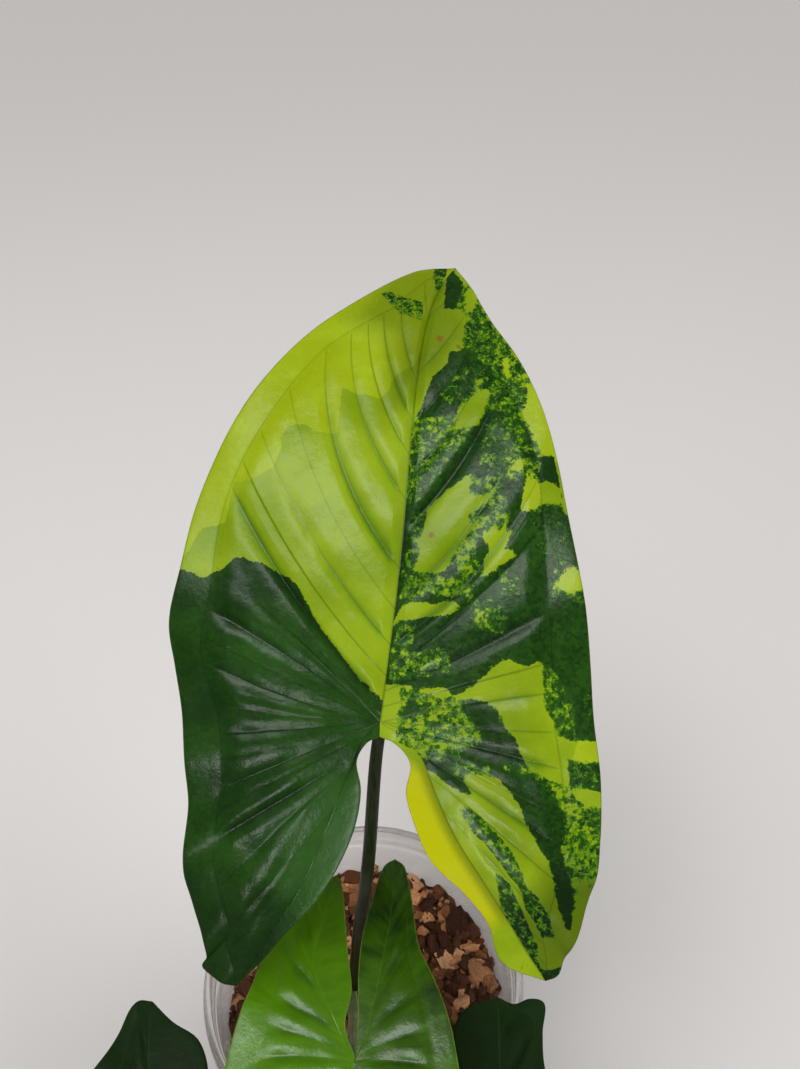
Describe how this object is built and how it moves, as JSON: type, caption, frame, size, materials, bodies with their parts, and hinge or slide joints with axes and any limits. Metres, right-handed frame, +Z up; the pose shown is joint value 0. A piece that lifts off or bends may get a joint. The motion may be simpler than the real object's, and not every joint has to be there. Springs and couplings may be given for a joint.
{
  "type": "potted aurea syngonium",
  "caption": "Potted arrowhead plant: arrow-shaped leaves on upright petioles, one large and marbled lime and dark green, in a clear nursery pot of bark mix.",
  "frame": {"origin": "centre of the pot's underside", "axes": "+Z up; the large leaf faces -Y, its tip leans to +Y; +X to the right seen from the leaf's front"},
  "size_m": [0.1986, 0.273, 0.3313],
  "materials": {
    "clear_plastic": "clear, slightly hazy",
    "bark_mix": "rough",
    "root": "matte",
    "stem_green": "satin",
    "dark_petiole": "satin",
    "pale_petiole": "satin",
    "marbled_leaf": "waxy gloss",
    "young_leaf": "waxy gloss",
    "dark_leaf": "waxy gloss"
  },
  "bodies": {
    "root": {"pot": "clear_plastic", "substrate": "bark_mix", "roots": "root", "stem": "stem_green", "variegated_petiole": "dark_petiole", "variegated_blade": "marbled_leaf", "young_petiole": "pale_petiole", "young_blade": "young_leaf", "side_left_petiole": "dark_petiole", "side_left_blade": "dark_leaf", "side_right_petiole": "dark_petiole", "side_right_blade": "dark_leaf"}
  },
  "joints": []
}
